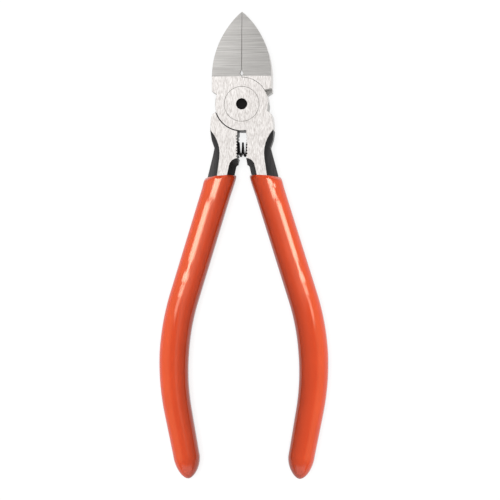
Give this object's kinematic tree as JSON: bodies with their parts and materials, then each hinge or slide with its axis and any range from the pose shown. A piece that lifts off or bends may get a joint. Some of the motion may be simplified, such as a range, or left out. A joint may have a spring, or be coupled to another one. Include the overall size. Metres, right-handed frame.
{
  "type": "diagonal cutting pliers",
  "caption": "Slim diagonal cutting pliers with pointed flush blades, a riveted lap joint, a coil spring between toothed neck walls and curved handles in dipped grips.",
  "frame": {"origin": "on the pivot's axis, at the rear face of the joint", "axes": "+Y along the middle line to the blade tips, +Z along the pivot out of the front face, +X to the right handle seen from the front"},
  "size_m": [0.0582, 0.16, 0.0104],
  "materials": {
    "ground_steel": "ground and brushed faces, black oxide on the flanks of the necks",
    "spring_steel": "oil tempered wire",
    "dipped_pvc": "glossy dip coat"
  },
  "bodies": {
    "front": {"front_half": "ground_steel", "pivot_rivet": "ground_steel", "right_grip": "dipped_pvc", "handle_spring": "spring_steel"},
    "rear": {"rear_half": "ground_steel", "left_grip": "dipped_pvc"}
  },
  "joints": [
    {"name": "pivot", "type": "hinge", "parent": "front", "child": "rear", "pos_m": [0, 0, 0.0045], "axis": [0, 0, -1], "range_deg": [0, 30], "stiffness_Nm_per_rad": 0.3, "springref_deg": 28.65, "deforming": ["handle_spring"]}
  ]
}
